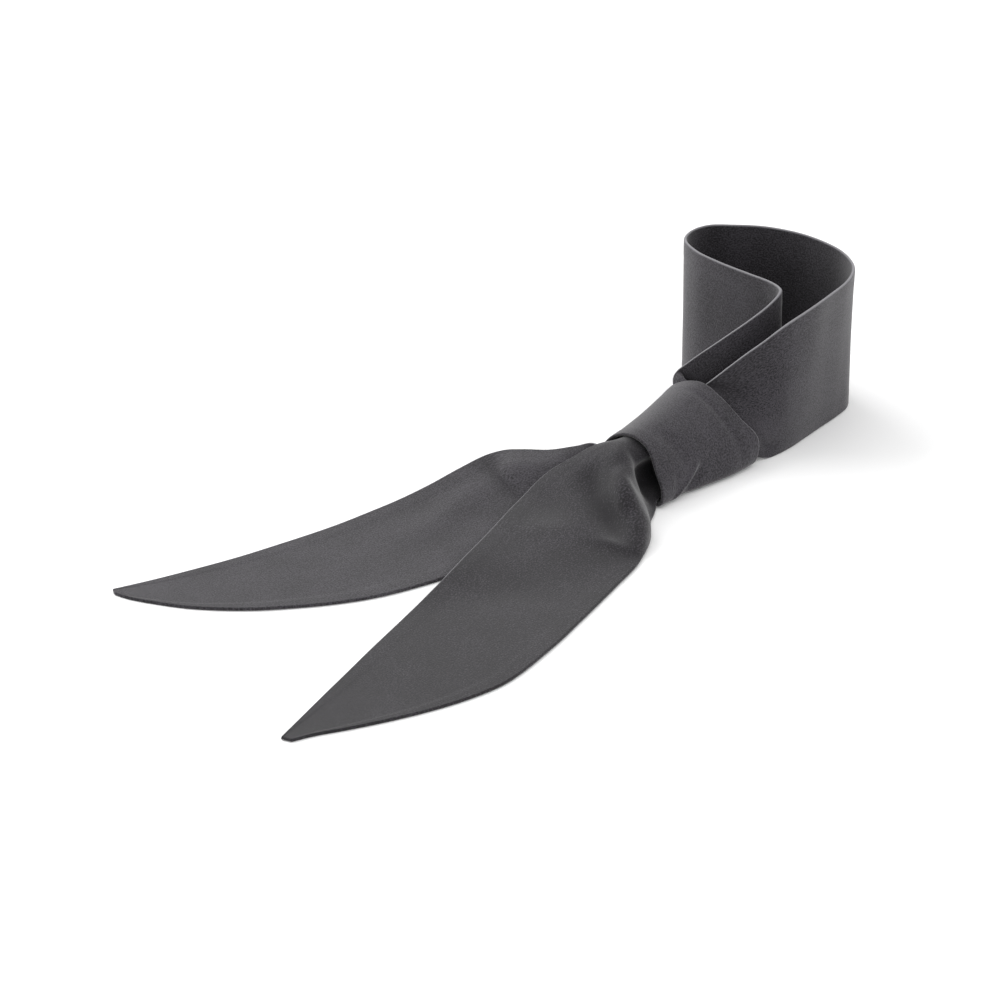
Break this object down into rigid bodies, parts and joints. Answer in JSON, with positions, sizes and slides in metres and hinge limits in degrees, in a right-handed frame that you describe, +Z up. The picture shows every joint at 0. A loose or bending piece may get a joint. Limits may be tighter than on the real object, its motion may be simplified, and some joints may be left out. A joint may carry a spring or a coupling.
{
  "type": "neckerchief",
  "caption": "Plain neckerchief tied with a flat knot: a neck loop standing on its edge and two pointed tails lying flat.",
  "frame": {"origin": "on the surface it lies on, under the middle of the whole outline", "axes": "+Y from the tails' points towards the neck loop, +X across the tails, +Z up"},
  "size_m": [0.1931, 0.4314, 0.0762],
  "materials": {
    "twill": "dark grey fine twill, matt, with pressed turned edges"
  },
  "bodies": {
    "root": {"neck_band": "twill", "knot_wrap": "twill", "front_tail": "twill", "rear_tail": "twill"}
  },
  "joints": []
}
